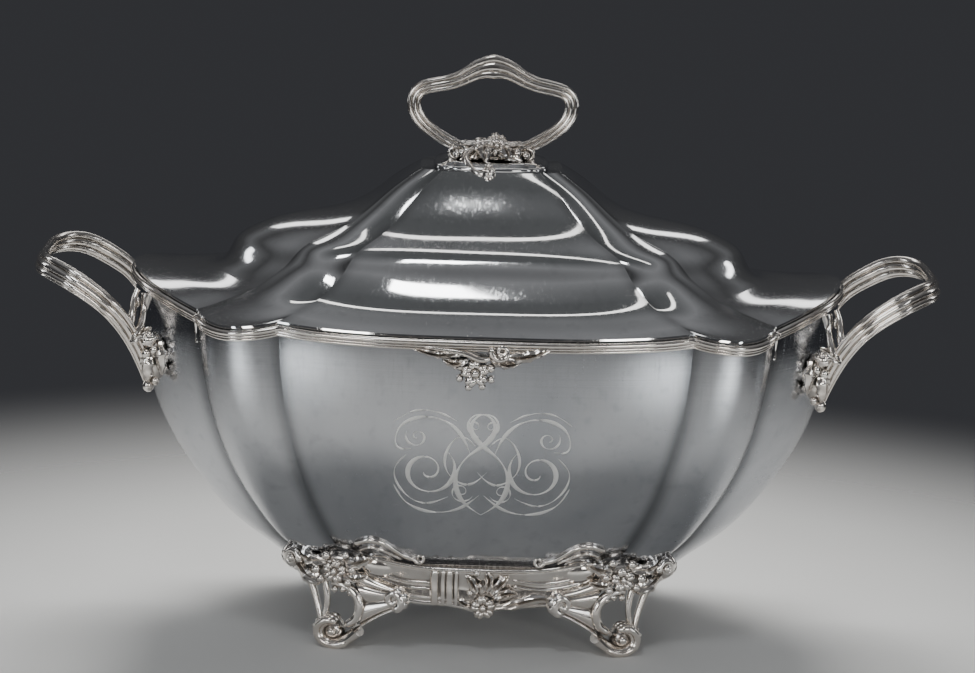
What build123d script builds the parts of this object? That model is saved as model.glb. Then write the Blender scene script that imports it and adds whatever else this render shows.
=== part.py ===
from build123d import *
import math
import os

# Soup tureen, silver plate. Millimetres, +Z up, origin under the middle of the
# four toes. X runs from handle to handle, and the front panel faces -Y.

# ---- driving dimensions ---------------------------------------------------

# Plan of the rim at full size: eight lobes that meet in sharp cusps.
CUSP_A = (88, 78)          # between a long lobe and a corner lobe
CUSP_B = (124, 58)         # between a corner lobe and an end lobe
LONG_BULGE = 10            # how far the front and back lobes stand out past their chord
END_BULGE = 33
CORNER_BULGE = 9.5

WALL = 1.2                 # sheet thickness of bowl and lid
WALL_SCALE = 0.012         # the same thickness as a share of the plan
LID_GAP = 0.3              # clearance under the lid's edge

# The lid's edge: the height of its top side at each part of the plan.
EDGE = {"cusp": 146.8, "long": 144.9, "end": 155.9, "corner": 143.8}
EDGE_SCALE = 0.985
SEAM_DROP = WALL + LID_GAP

# The rim border, an applied reeded moulding outside the bowl's edge.
BORDER_HEIGHT = 4.6
BORDER_SCALE_IN = 0.982
BORDER_SCALE_OUT = 1.003
BORDER_CHAMFER = 0.8
BEAD_R = 2.5               # lug on each cusp of the border
BEAD_SCALE = 1.012
BEAD_DROP = 2.7            # from the border's top down to the lug's middle

# Bowl: height and plan scale from the floor up to just under the border.
FLOOR_Z = 26
BOWL_STATIONS = [
    (FLOOR_Z, 0.55), (33, 0.605), (43, 0.69), (57, 0.775), (78, 0.868),
    (101, 0.932), (122, 0.966), (137, 0.979),
]
FLOOR_THICKNESS = 2.0

# Lid: plan scale, height of cusp line, long lobe and end lobe, end bulge, corner dip.
LID_STATIONS = [
    (0.930, 148.5, 146.8, 155.2, 31.7, 2.5),
    (0.860, 151.3, 149.5, 154.8, 30.4, 2.0),
    (0.800, 154.0, 152.3, 154.8, 27.8, 1.5),
    (0.740, 158.5, 157.8, 157.5, 25.2, 1.0),
    (0.690, 163.7, 164.2, 165.0, 26.4, 0.5),
    (0.640, 170.5, 171.3, 171.3, 26.1, 0.0),
    (0.580, 174.5, 175.0, 176.8, 20.0, 0.0),
    (0.500, 179.0, 179.0, 180.3, 10.5, 0.0),
    (0.420, 185.8, 185.3, 185.0, 4.9, 0.0),
    (0.350, 193.2, 193.0, 192.0, 2.1, 0.0),
    (0.290, 198.7, 199.0, 198.3, 1.0, 0.0),
]
LID_TOP_SCALE = 0.24
LID_TOP_Z = 202.6
LID_CORNER_BULGE = 0.5     # how much of the corner bulge is left at the lid's top

# Bezel: the ring under the lid that drops inside the bowl.
BEZEL_SCALE_OUT = 0.955
BEZEL_SCALE_IN = 0.945
BEZEL_DEPTH = 9
BEZEL_TOP = {"cusp": 147.1, "long": 145.4, "end": 154.7, "corner": 144.6}

# Small lobed step on top of the lid: height, length scale, depth scale.
STEP_STATIONS = [
    (LID_TOP_Z, 0.190, 0.235), (204.4, 0.186, 0.230), (205.6, 0.160, 0.195),
]
STEP_END_BULGE = 1.2
STEP_CORNER_BULGE = 1.5

# Finial: a flat reeded loop that stands in the XZ plane.
LOOP_BAR_R = 3.3
LOOP_FOOT = (8.5, 209.4)
LOOP_SIDE = [(22, 213.0), (31.8, 220.4), (36.2, 231.2), (28.5, 236.6), (14.5, 239.8)]
LOOP_PEAK = (0, 249.7)
LOOP_ROUNDS = [7, 9, 5, 9, 12]
LOOP_PEAK_ROUND = 8
FINIAL_BASE_Z = 205.6
COLLAR_R = 10.5
COLLAR_T = 3.4
STUD_R = 2.5
STUD_HOLE_R = 2.7
STUD_BOTTOM = 193.5
STUD_TOP = 210
WASHER_R = 9
WASHER_T = 1.5
NUT_ACROSS_FLATS = 9
NUT_T = 4
THREAD_GAP = 0.05

# Handles: half of the centre line, from the leaf tip to the outer bar.
HANDLE_BAR_R = 4.6
HANDLE_PATH = [
    (144.5, -34, 111), (148.5, -36.5, 123), (154, -39.5, 133.5), (161.5, -42.5, 143.2),
    (170.5, -40.8, 150.2), (180, -37.5, 155.6), (188.5, -29.5, 157.8), (193.8, -17, 158),
]
STRUT_R = 2.2
STRUT_PATH = [(152.3, -38.5, 133.5), (149.2, -35.5, 138.5), (148.0, -31.5, 147.3)]

# Feet and base. A foot's outline is seen from the front, the base's middle towards -X.
FOOT_X = 60
FOOT_Y = 54
FOOT_TURN = 16             # degrees each foot is turned out towards its corner
FOOT_PLATE = 5
FOOT_OUTLINE = [(-5, 5), (-28, 22), (-23, 27), (-13, 38), (8, 38), (15, 33), (12, 20), (8, 6)]
FOOT_HOLE_R = 6.6
FOOT_RING_R = 10
FOOT_RING_T = 6
FOOT_HOLE_Z = 20
FOOT_ROLL_R = 4.2          # the rolled inner end of the foot
FOOT_ROLL_AT = (-27, 24)
TOE_R = 6.5
TOE_WIDTH = 13
TOE_FORWARD = 2            # how far the toe stands in front of the foot's plate
TOE_PAD = (9, 10, 2)
KNEE = (20, 12, 8)         # block that carries the bowl behind the foliage
KNEE_AT = (0, 5, 35)
APRON_Y = 57.5
APRON_T = 2.4
APRON_OUTLINE = [
    (-42, 24), (-30, 22.5), (-18, 20.8), (-8, 20.8), (0, 17.5), (8, 20.8), (18, 20.8),
    (30, 22.5), (42, 24), (45, 34), (42, 41.5), (20, 38.2), (-20, 38.2), (-42, 41.5), (-45, 34),
]
SHELF = (70, 9.5, 1.6)     # joins the apron's top edge to the bowl
SHELF_AT = (0, -52.2, 37.2)
BASE_RING_SCALES = (0.522, 0.552, 0.572)
BASE_RING_LOW_Z = 22

# Cast ornaments as rounded masses: the middle and the half sizes of each.
ROCAILLE_Y = -87.6
ROCAILLE_MASSES = [((-3, 0, -7), (7.5, 3.4, 6.5)), ((-13, 0, -3), (8.5, 2.4, 3.6)), ((10, 0, -2), (12.5, 2.6, 3.8))]
APRON_MASSES = [((1, -1.4, 27), (8.5, 3.0, 5.5))]
FOOT_MASSES = [((0, -1, 38), (9, 4.5, 7)), ((17, 1, 34), (10, 3.6, 6))]
MOUNT_MASSES = [
    ((143.5, -33.5, 112), (4.5, 4.5, 6.5)), ((142.5, -34.5, 120.5), (7, 6.5, 9)),
    ((138.5, -39.5, 122.5), (4.6, 4.6, 4.6)), ((145.5, -36.5, 129.5), (5, 5, 5)),
]
FOLIAGE_MASSES = [((0, 0, 211), (13, 6, 6.5)), ((0, 0, 214.5), (6, 4.5, 5))]
BUD_R = 3.0
BUD_AT = (-1, 22.0, 202.8)

OUT = "parts"


# ---- the lobed plan -------------------------------------------------------

def corners(scale, depth_scale=None):
    """The eight cusps in plan, counterclockwise from the front left one."""
    ys = scale if depth_scale is None else depth_scale
    ax, ay = CUSP_A[0] * scale, CUSP_A[1] * ys
    bx, by = CUSP_B[0] * scale, CUSP_B[1] * ys
    return [(-ax, -ay), (ax, -ay), (bx, -by), (bx, by), (ax, ay), (-ax, ay), (-bx, by), (-bx, -by)]


LOBES = ["long", "corner", "end", "corner"] * 2
LOBE_NAMES = ["front", "front_right", "right", "back_right", "back", "back_left", "left", "front_left"]
FULLNESS = {"long": 3.5, "corner": 2.0, "end": 2.0}
POINTS = {"long": 11, "corner": 7, "end": 9}


def section(scale, heights, end_bulge=None, corner_bulge=None, depth_scale=None):
    """Eight spline edges round the plan; heights gives z at cusps and lobe middles."""
    if isinstance(heights, (int, float)):
        heights = {key: heights for key in ("cusp", "long", "end", "corner")}
    ys = scale if depth_scale is None else depth_scale
    bulges = {
        "long": LONG_BULGE * ys,
        "end": END_BULGE * scale if end_bulge is None else end_bulge,
        "corner": CORNER_BULGE * scale if corner_bulge is None else corner_bulge,
    }
    cusps = corners(scale, depth_scale)
    edges = []
    for i, lobe in enumerate(LOBES):
        start, end = Vector(*cusps[i]), Vector(*cusps[(i + 1) % 8])
        along = end - start
        outward = Vector(along.Y, -along.X).normalized()
        rise = heights[lobe] - heights["cusp"]
        points = []
        for k in range(POINTS[lobe]):
            s = 2 * k / (POINTS[lobe] - 1) - 1
            fill = 1 - abs(s) ** FULLNESS[lobe]
            spot = start + along * ((s + 1) / 2) + outward * (fill * bulges[lobe])
            points.append(Vector(spot.X, spot.Y, heights["cusp"] + fill * rise))
        edges.append(Edge.make_spline(points))
    return edges


def lowered(heights, drop):
    return {key: z - drop for key, z in heights.items()}


def smooth_skin(sections):
    return list(Shell.make_loft([Wire(edges) for edges in sections]).faces())


def ruled_band(low, high):
    return [Face.make_surface_from_curves(a, b) for a, b in zip(low, high)]


def flat_cap(edges):
    return Face(Wire(edges))


def closed_solid(faces):
    return Solid(Shell(Face.sew_faces(faces)[0]))


def lobed_ring(loop):
    """A closed ring whose cross-section's corners are the sections in loop."""
    faces = []
    for i, edges in enumerate(loop):
        faces += ruled_band(edges, loop[(i + 1) % len(loop)])
    return closed_solid(faces)


def lobe_bar(loop, i):
    """The stretch of a lobed ring that covers lobe i, with flat ends."""
    edges = [ring[i] for ring in loop]
    faces = [Face.make_surface_from_curves(a, edges[(k + 1) % len(edges)]) for k, a in enumerate(edges)]
    for end in (0, 1):
        spots = [edge @ end for edge in edges]
        faces.append(Face(Wire([Line(a, b).edge() for a, b in zip(spots, spots[1:] + spots[:1])])))
    return closed_solid(faces)


# ---- small shapes ---------------------------------------------------------

def ball(x, y, z, r):
    return Pos(x, y, z) * Sphere(r)


def masses(listed, shift=(0, 0, 0)):
    """The rounded masses of an ornament, joined, each a middle and three half sizes."""
    whole = None
    for at, halves in listed:
        egg = Pos(*shift) * Pos(*at) * scale(Sphere(1), by=halves)
        whole = egg if whole is None else whole + egg
    return whole


def rod(path, radii, r):
    line = FilletPolyline(*path, radius=radii)
    end = Plane(origin=line @ 0, z_dir=line % 0)
    return sweep(end * Circle(r), path=line)


def soft_radii(path, share=0.4):
    """A fillet at each inner corner, as large as the shorter run next to it allows."""
    radii = []
    for a, b, c in zip(path, path[1:], path[2:]):
        run_in, run_out = Vector(*b) - Vector(*a), Vector(*c) - Vector(*b)
        half_turn = math.radians(run_in.get_angle(run_out)) / 2
        radii.append(share * min(run_in.length, run_out.length) / math.tan(half_turn))
    return radii


def one_solid(shape):
    solids = shape.solids()
    return max(solids, key=lambda s: s.volume) if len(solids) > 1 else solids[0]


nodes = {}


def add(name, shape):
    nodes[name] = shape


# ---- bowl -----------------------------------------------------------------

rim_heights = lowered(EDGE, SEAM_DROP)


def bowl_skin(inset):
    sections = [section(s - inset, z) for z, s in BOWL_STATIONS]
    if inset:
        floor_z = FLOOR_Z + FLOOR_THICKNESS
        sections[0] = section(BOWL_STATIONS[0][1] - inset, floor_z)
    sections.append(section(BORDER_SCALE_IN - inset, rim_heights))
    return sections


def make_bowl():
    outer, inner = bowl_skin(0), bowl_skin(WALL_SCALE)
    faces = smooth_skin(outer) + smooth_skin(inner) + ruled_band(outer[-1], inner[-1])
    return closed_solid(faces + [flat_cap(outer[0]), flat_cap(inner[0])])


add("bowl", make_bowl())


# ---- rim border and the beads on its cusps --------------------------------

border_loop = [
    section(BORDER_SCALE_IN, lowered(rim_heights, BORDER_HEIGHT)),
    section(BORDER_SCALE_OUT, lowered(rim_heights, BORDER_HEIGHT - BORDER_CHAMFER)),
    section(BORDER_SCALE_OUT, lowered(rim_heights, BORDER_CHAMFER)),
    section(BORDER_SCALE_IN, rim_heights),
]
for i, name in enumerate(LOBE_NAMES):
    add("rim_border_" + name, lobe_bar(border_loop, i))

bead_z = rim_heights["cusp"] - BEAD_DROP
beads = []
for x, y in corners(BEAD_SCALE):
    beads.append(ball(x, y, bead_z, BEAD_R))
add("rim_cusp_beads", Compound(children=[one_solid(b) for b in beads]))


# ---- front and back ornaments under the border ----------------------------

def rocaille():
    """Flower and leaves under the middle of a long lobe, front side."""
    return one_solid(masses(ROCAILLE_MASSES, (0, ROCAILLE_Y, rim_heights["long"] - BORDER_HEIGHT)))


front_rocaille = rocaille()
add("rocaille_front", front_rocaille)
add("rocaille_back", mirror(front_rocaille, about=Plane.XZ))


# ---- base ring and aprons -------------------------------------------------

base_loop = [
    section(BASE_RING_SCALES[0], BASE_RING_LOW_Z),
    section(BASE_RING_SCALES[1], BASE_RING_LOW_Z),
    section(BASE_RING_SCALES[2], FLOOR_Z),
    section(BASE_RING_SCALES[0], FLOOR_Z),
]
for i, name in ((2, "right"), (6, "left")):
    add("base_band_" + name, lobe_bar(base_loop, i))


def upright_plate(outline, thickness):
    """A plate in the XZ plane, as thick to the front as to the back."""
    return extrude(Plane.XZ * make_face(Polyline(*outline, close=True)), amount=thickness / 2, both=True)


def apron():
    """Scrolled band between the two front feet."""
    plate = upright_plate(APRON_OUTLINE, APRON_T) + masses(APRON_MASSES)
    return one_solid(Pos(0, -APRON_Y, 0) * plate + Pos(*SHELF_AT) * Box(*SHELF))


front_apron = apron()
add("base_apron_front", front_apron)
add("base_apron_back", mirror(front_apron, about=Plane.XZ))


# ---- feet -----------------------------------------------------------------

def cross_pin(x, y, z, r, width):
    """A cylinder with its axis from front to back."""
    return Pos(x, y, z) * Rot(90, 0, 0) * Cylinder(r, width)


def foot():
    """Openwork scroll foot, built facing -Y about x = 0."""
    plate = upright_plate(FOOT_OUTLINE, FOOT_PLATE)
    hub = cross_pin(0, 0, FOOT_HOLE_Z, FOOT_RING_R, FOOT_RING_T)
    roll = cross_pin(FOOT_ROLL_AT[0], 0, FOOT_ROLL_AT[1], FOOT_ROLL_R, FOOT_RING_T)
    toe = cross_pin(0, -TOE_FORWARD, TOE_R, TOE_R, TOE_WIDTH)
    pad = Pos(0, -TOE_FORWARD, TOE_PAD[2] / 2) * Box(*TOE_PAD)
    solid = plate + hub + roll + masses(FOOT_MASSES) + Pos(*KNEE_AT) * Box(*KNEE)
    through = 10 * FOOT_RING_T
    return one_solid(solid - cross_pin(0, 0, FOOT_HOLE_Z, FOOT_HOLE_R, through) + toe + pad)


foot_shape = foot()
front_right_foot = Pos(FOOT_X, -FOOT_Y, 0) * Rot(0, 0, FOOT_TURN) * foot_shape
front_left_foot = mirror(front_right_foot, about=Plane.YZ)
add("foot_front_right", front_right_foot)
add("foot_front_left", front_left_foot)
add("foot_back_right", mirror(front_right_foot, about=Plane.XZ))
add("foot_back_left", mirror(front_left_foot, about=Plane.XZ))


# ---- handles --------------------------------------------------------------

def mirrored_path(half):
    return half + [(x, -y, z) for x, y, z in reversed(half)]


handle_path = mirrored_path(HANDLE_PATH)
handle_right = one_solid(rod(handle_path, soft_radii(handle_path), HANDLE_BAR_R))
add("handle_right", handle_right)
add("handle_left", mirror(handle_right, about=Plane.YZ))


def strut():
    """Short branch from the arm up to the underside of the border."""
    return one_solid(rod(STRUT_PATH, soft_radii(STRUT_PATH), STRUT_R))


# Leaf and bud cluster that joins an arm to the end lobe, and the branch above it.
handle_mount = one_solid(masses(MOUNT_MASSES))
for prefix, shape in (("handle_mount", handle_mount), ("handle_strut", strut())):
    left = mirror(shape, about=Plane.YZ)
    add(prefix + "_front_right", shape)
    add(prefix + "_front_left", left)
    add(prefix + "_back_right", mirror(shape, about=Plane.XZ))
    add(prefix + "_back_left", mirror(left, about=Plane.XZ))


# ---- lid ------------------------------------------------------------------

def lid_sections(drop, inset):
    sections = [section(EDGE_SCALE - inset, lowered(EDGE, drop))]
    for s, cusp, long, end, bulge, dip in LID_STATIONS:
        heights = {"cusp": cusp, "long": long, "end": end, "corner": cusp - dip}
        corner = CORNER_BULGE * s * (LID_CORNER_BULGE + (1 - LID_CORNER_BULGE) * s)
        sections.append(section(s - inset, lowered(heights, drop), bulge, corner))
    corner = CORNER_BULGE * LID_TOP_SCALE * LID_CORNER_BULGE
    sections.append(section(LID_TOP_SCALE - inset, LID_TOP_Z - drop, 1.0, corner))
    return sections


def stud_bore(z_low, z_high, r=STUD_HOLE_R):
    return Pos(0, 0, (z_low + z_high) / 2) * Cylinder(r, z_high - z_low)


def make_lid():
    outer, inner = lid_sections(0, 0), lid_sections(WALL, WALL_SCALE * 0.6)
    edge = section(EDGE_SCALE, lowered(EDGE, WALL))
    faces = smooth_skin(outer) + smooth_skin(inner)
    faces += ruled_band(inner[0], edge) + ruled_band(edge, outer[0])
    faces += [flat_cap(outer[-1]), flat_cap(inner[-1])]
    return one_solid(closed_solid(faces) - stud_bore(LID_TOP_Z - 5, LID_TOP_Z + 5))


add("lid", make_lid())

bezel_bottom = lowered(EDGE, WALL + BEZEL_DEPTH)
add("lid_bezel", lobed_ring([
    section(BEZEL_SCALE_IN, bezel_bottom),
    section(BEZEL_SCALE_OUT, bezel_bottom),
    section(BEZEL_SCALE_OUT, BEZEL_TOP),
    section(BEZEL_SCALE_IN, BEZEL_TOP),
]))

step_sections = [section(s, z, STEP_END_BULGE, STEP_CORNER_BULGE, d) for z, s, d in STEP_STATIONS]
step = closed_solid(smooth_skin(step_sections) + [flat_cap(step_sections[0]), flat_cap(step_sections[-1])])
add("lid_top_step", one_solid(step - stud_bore(LID_TOP_Z - 1, FINIAL_BASE_Z + 1)))


# ---- finial and its fastening ---------------------------------------------

loop_half = [LOOP_FOOT] + LOOP_SIDE
loop_points = [(x, 0, z) for x, z in loop_half] + [(LOOP_PEAK[0], 0, LOOP_PEAK[1])]
loop_points += [(-x, 0, z) for x, z in reversed(loop_half)]
loop_radii = LOOP_ROUNDS + [LOOP_PEAK_ROUND] + LOOP_ROUNDS[::-1]
add("finial_loop", one_solid(rod(loop_points, loop_radii, LOOP_BAR_R)))

collar = Pos(0, 0, FINIAL_BASE_Z + COLLAR_T / 2) * Cylinder(COLLAR_R, COLLAR_T)
foliage = collar + masses(FOLIAGE_MASSES) - stud_bore(FINIAL_BASE_Z - 1, STUD_TOP)
add("finial_foliage", one_solid(foliage))

buds = [ball(BUD_AT[0], side * BUD_AT[1], BUD_AT[2], BUD_R) for side in (-1, 1)]
add("finial_buds", Compound(children=[one_solid(b) for b in buds]))

lid_under = LID_TOP_Z - WALL
stud = stud_bore(STUD_BOTTOM, STUD_TOP, STUD_R)
add("finial_stud", one_solid(stud))
washer = Pos(0, 0, lid_under - WASHER_T / 2) * Cylinder(WASHER_R, WASHER_T)
add("finial_washer", one_solid(washer - stud_bore(lid_under - 5, lid_under + 5)))
nut_z = lid_under - WASHER_T - NUT_T / 2
hexagon = RegularPolygon(NUT_ACROSS_FLATS / 2, 6, major_radius=False)
nut = Pos(0, 0, nut_z - NUT_T / 2) * extrude(hexagon, amount=NUT_T)
add("finial_nut", one_solid(nut - stud_bore(nut_z - 5, nut_z + 5, STUD_R + THREAD_GAP)))


# ---- write the parts ------------------------------------------------------

os.makedirs(OUT, exist_ok=True)
for name, shape in nodes.items():
    export_step(shape, f"{OUT}/{name}.step")
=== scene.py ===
import math
import bmesh
import bpy
import numpy as np
from mathutils import Euler, Matrix, Vector


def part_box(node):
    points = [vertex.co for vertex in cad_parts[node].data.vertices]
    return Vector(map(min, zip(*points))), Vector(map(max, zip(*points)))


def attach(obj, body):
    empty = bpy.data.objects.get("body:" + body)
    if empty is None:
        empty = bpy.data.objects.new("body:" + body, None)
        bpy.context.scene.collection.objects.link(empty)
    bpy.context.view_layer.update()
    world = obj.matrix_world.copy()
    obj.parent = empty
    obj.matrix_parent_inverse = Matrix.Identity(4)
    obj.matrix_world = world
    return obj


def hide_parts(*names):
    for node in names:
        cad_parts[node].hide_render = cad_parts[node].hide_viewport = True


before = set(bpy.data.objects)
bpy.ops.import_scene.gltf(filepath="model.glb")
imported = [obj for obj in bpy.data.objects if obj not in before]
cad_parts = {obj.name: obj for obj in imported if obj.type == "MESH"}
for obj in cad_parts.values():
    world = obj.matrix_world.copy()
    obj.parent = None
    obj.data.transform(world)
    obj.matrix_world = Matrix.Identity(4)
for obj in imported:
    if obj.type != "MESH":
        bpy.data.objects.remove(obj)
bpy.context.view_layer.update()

# Shapes are worked out in millimetres and brought to metres when a piece is finished.
MM = 0.001
BOWL, LID = "bowl_body", "lid_body"

# ---- plan of the tureen: eight lobes that meet in sharp cusps ---------------

CUSP_A = (88, 78)
CUSP_B = (124, 58)
LOBES = ["long", "corner", "end", "corner"] * 2
LOBE_NAMES = ["front", "front_right", "right", "back_right", "back", "back_left", "left", "front_left"]
FULLNESS = {"long": 3.5, "corner": 2.0, "end": 2.0}
COLUMNS = {"long": 44, "corner": 16, "end": 36}
LONG_BULGE, END_BULGE, CORNER_BULGE = 10, 33, 9.5
FLOOR_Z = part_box("bowl")[0].z / MM
BOWL_FLOOR = 2           # thickness of the bowl's floor
WALL = 1.2               # thickness of the sheet
WALL_SCALE = 0.012       # the same as a share of the plan
EDGE = np.array([146.8, 144.9, 155.9, 143.8])   # lid edge at cusp, long, end, corner
EDGE_SCALE = 0.985
RIM = EDGE - 1.5
RIM_SCALE = 0.982


def spline(xs, ys):
    """A natural cubic spline through the points, as a function of x."""
    xs, ys = np.asarray(xs, float), np.asarray(ys, float)
    gaps = np.diff(xs)
    system = np.eye(len(xs))
    bends = np.zeros(ys.shape)
    for i in range(1, len(xs) - 1):
        system[i, i - 1:i + 2] = gaps[i - 1], 2 * (gaps[i - 1] + gaps[i]), gaps[i]
        bends[i] = 6 * ((ys[i + 1] - ys[i]) / gaps[i] - (ys[i] - ys[i - 1]) / gaps[i - 1])
    bends = np.linalg.solve(system, bends)

    def at(x):
        i = int(np.clip(np.searchsorted(xs, x) - 1, 0, len(xs) - 2))
        p, q = (xs[i + 1] - x) / gaps[i], (x - xs[i]) / gaps[i]
        curve = (p ** 3 - p) * bends[i] + (q ** 3 - q) * bends[i + 1]
        return p * ys[i] + q * ys[i + 1] + curve * gaps[i] ** 2 / 6

    return at


def curve_through(points, spacing=None):
    """A smooth curve through the points, over 0 to 1 by distance."""
    points = np.array(points, float)
    where = points if spacing is None else np.array(spacing, float)
    steps = np.linalg.norm(np.diff(where, axis=0), axis=1)
    run = np.concatenate([[0], np.cumsum(steps)])
    return spline(run / run[-1], points)


def row(scale, heights, bulges=None, depth=None):
    """One level line of a lobed sheet: plan scale, four heights, three bulges, depth scale."""
    if isinstance(heights, (int, float)):
        heights = [heights] * 4
    if bulges is None:
        bulges = [LONG_BULGE * scale, END_BULGE * scale, CORNER_BULGE * scale]
    return [scale, *heights, *bulges, scale if depth is None else depth]


def rows_through(stations, count):
    stations = np.array(stations, float)
    curve = curve_through(stations, [(100 * s[0], s[1]) for s in stations])
    return [curve(v) for v in np.linspace(0, 1, count)]


def lobe_spot(index, s, level):
    """The point on lobe index at s, from -1 at its first cusp to 1 at its last."""
    scale, cusp_z, long_z, end_z, corner_z, long_b, end_b, corner_b, depth = level
    corners = []
    for k in (index, index + 1):
        cx, cy = [CUSP_A, CUSP_A, CUSP_B, CUSP_B][k % 4]
        sx = 1 if k % 8 in (1, 2, 3, 4) else -1
        sy = 1 if k % 8 in (3, 4, 5, 6) else -1
        corners.append((sx * cx * scale, sy * cy * depth))
    (x0, y0), (x1, y1) = corners
    kind = LOBES[index]
    bulge = {"long": long_b, "end": end_b, "corner": corner_b}[kind]
    middle = {"long": long_z, "end": end_z, "corner": corner_z}[kind]
    fill = 1 - abs(s) ** FULLNESS[kind]
    dx, dy = x1 - x0, y1 - y0
    length = math.hypot(dx, dy) or 1
    t = (s + 1) / 2
    x = x0 + dx * t + dy / length * fill * bulge
    y = y0 + dy * t - dx / length * fill * bulge
    return Vector((x, y, cusp_z + fill * (middle - cusp_z)))


def plan_columns():
    """Where the columns of a lobed sheet stand: lobe and place along it, closer at cusps."""
    spots = []
    for index, kind in enumerate(LOBES):
        for k in range(COLUMNS[kind]):
            spots.append((index, math.sin(math.pi / 2 * (2 * k / COLUMNS[kind] - 1))))
    return spots + [spots[0]]


# ---- mesh tools --------------------------------------------------------------

def bent_grid(bm, across, along, place, mark=None):
    """Adds a flat grid and bends it: place(i, j) gives the point for column i and row j.

    mark(i, j) is how near the point is to a pressed crease, from 0 to 1, for the painted shade along the
    crease in the metal's colour.
    """
    if mark:
        layer = bm.verts.layers.float.new("crease_shade_mask")
    made = bmesh.ops.create_grid(bm, x_segments=across, y_segments=along, size=1)["verts"]
    for vert in made:
        i, j = round((vert.co.x + 1) / 2 * across), round((vert.co.y + 1) / 2 * along)
        vert.co = place(i, j)
        if mark:
            vert[layer] = mark(i, j)
    bmesh.ops.remove_doubles(bm, verts=made, dist=1e-4)
    return made


def fill_holes(bm):
    rims = [e for e in bm.edges if e.is_boundary]
    if rims:
        bmesh.ops.holes_fill(bm, edges=rims, sides=0)


def sweep(bm, path, section, size, up, steps, twist=None):
    """Carries a closed section along a path; size(v) scales it, up and twist(v) turn it."""
    count = len(section)
    frames = []
    for k in range(steps + 1):
        v = k / steps
        spot = Vector(path(v))
        ahead = Vector(path(min(1, v + 0.004))) - Vector(path(max(0, v - 0.004)))
        ahead.normalize()
        ref = Vector(up(v)) if callable(up) else Vector(up)
        lift = (ref - ref.dot(ahead) * ahead).normalized()
        side = ahead.cross(lift)
        if twist:
            turn = Matrix.Rotation(twist(v), 3, ahead)
            lift, side = turn @ lift, turn @ side
        frames.append((spot, side, lift))

    def place(i, j):
        spot, side, lift = frames[j]
        a, b = section[i % count]
        width, depth = size(j / steps) if callable(size) else (size, size)
        return spot + side * (a * depth) + lift * (b * width)

    bent_grid(bm, count, steps, place)


def arc(cx, cy, r, start, end, count):
    """Points on an arc, angles in degrees."""
    turns = np.linspace(math.radians(start), math.radians(end), count)
    return [(cx + r * math.cos(a), cy + r * math.sin(a)) for a in turns]


ROUND = arc(0, 0, 1, 0, 337.5, 16)


def reeded(radii, overlap=0.87, detail=7):
    """The outline of a bar of round reeds side by side, which reaches from -1 to 1."""
    centres = [0.0]
    for a, b in zip(radii, radii[1:]):
        centres.append(centres[-1] + overlap * (a + b))
    low, high = -radii[0], centres[-1] + radii[-1]
    right = []
    for k, (c, r) in enumerate(zip(centres, radii)):
        start, end = -90.0, 90.0
        if k:
            gap = c - centres[k - 1]
            start = -math.degrees(math.asin((gap ** 2 + r ** 2 - radii[k - 1] ** 2) / (2 * gap * r)))
        if k < len(radii) - 1:
            gap = centres[k + 1] - c
            end = math.degrees(math.asin((gap ** 2 + r ** 2 - radii[k + 1] ** 2) / (2 * gap * r)))
        right += arc(0, c, r, start, end, detail)[0 if k == 0 else 1:]
    middle, half = (low + high) / 2, (high - low) / 2
    right = [(x / half, (y - middle) / half) for x, y in right]
    return right + [(-x, y) for x, y in right[-2:0:-1]]


LOOP_REEDS = reeded([0.32, 0.44, 0.32])
HANDLE_REEDS = reeded([0.14, 0.34, 0.44, 0.34])


def rod(bm, points, radius, steps=24, up=(0, -1, 0.01), tip=0.0):
    """A bar along a smooth curve, its radius a number or a function; tip closes it to a point."""
    path = curve_through(points) if not callable(points) else points

    def size(v):
        r = radius(v) if callable(radius) else radius
        fade = min(1.0, v / tip, (1 - v) / tip) if tip else 1.0
        r *= math.sqrt(max(0.0, 1 - (1 - fade) ** 2))
        return r, r

    sweep(bm, path, ROUND, size, up, steps)


def spiral(centre, r_out, r_in, start, turns, right, ahead, count=18):
    """Points that wind into centre, in the plane of the vectors right and ahead."""
    centre, right, ahead = Vector(centre), Vector(right), Vector(ahead)
    points = []
    for k in range(count):
        t = k / (count - 1)
        r = r_out + (r_in - r_out) * t
        a = math.radians(start) + turns * 2 * math.pi * t
        points.append(centre + right * (r * math.cos(a)) + ahead * (r * math.sin(a)))
    return points


def blob(bm, centre, radii, turn=(0, 0, 0), detail=12, axes=None):
    """A rounded boss: an ellipsoid turned by degrees about X, Y and Z, or set along three axes."""
    if axes is None:
        angles = Euler([math.radians(a) for a in turn]).to_matrix()
    else:
        angles = Matrix([Vector(a).normalized() for a in axes]).transposed()
    matrix = Matrix.Translation(centre) @ angles.to_4x4() @ Matrix.Diagonal((*radii, 1))
    rings = max(6, detail * 2 // 3)
    bmesh.ops.create_uvsphere(bm, u_segments=detail, v_segments=rings, radius=1, matrix=matrix)


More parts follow.
